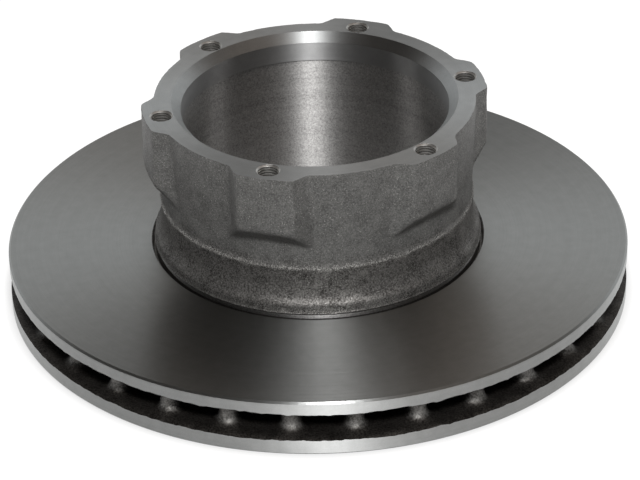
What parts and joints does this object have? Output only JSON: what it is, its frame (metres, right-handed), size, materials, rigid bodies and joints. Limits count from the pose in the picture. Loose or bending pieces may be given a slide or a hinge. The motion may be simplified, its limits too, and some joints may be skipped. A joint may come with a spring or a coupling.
{
  "type": "vented brake disc",
  "caption": "Vented cast-iron brake disc: a friction ring of two plates joined by posts, with a tall machined hat whose rim bosses carry threaded holes.",
  "frame": {"origin": "centre of the hidden friction face, which the disc stands on", "axes": "+Z along the disc's axis towards the mounting face of the hat; one threaded hole lies on +X"},
  "size_m": [0.322, 0.322, 0.11],
  "materials": {
    "cast_iron": "turned bright on the friction faces, rims, mounting face and bore; as cast on the neck, the bosses and inside the vents"
  },
  "bodies": {
    "root": {"brake_disc": "cast_iron"}
  },
  "joints": []
}
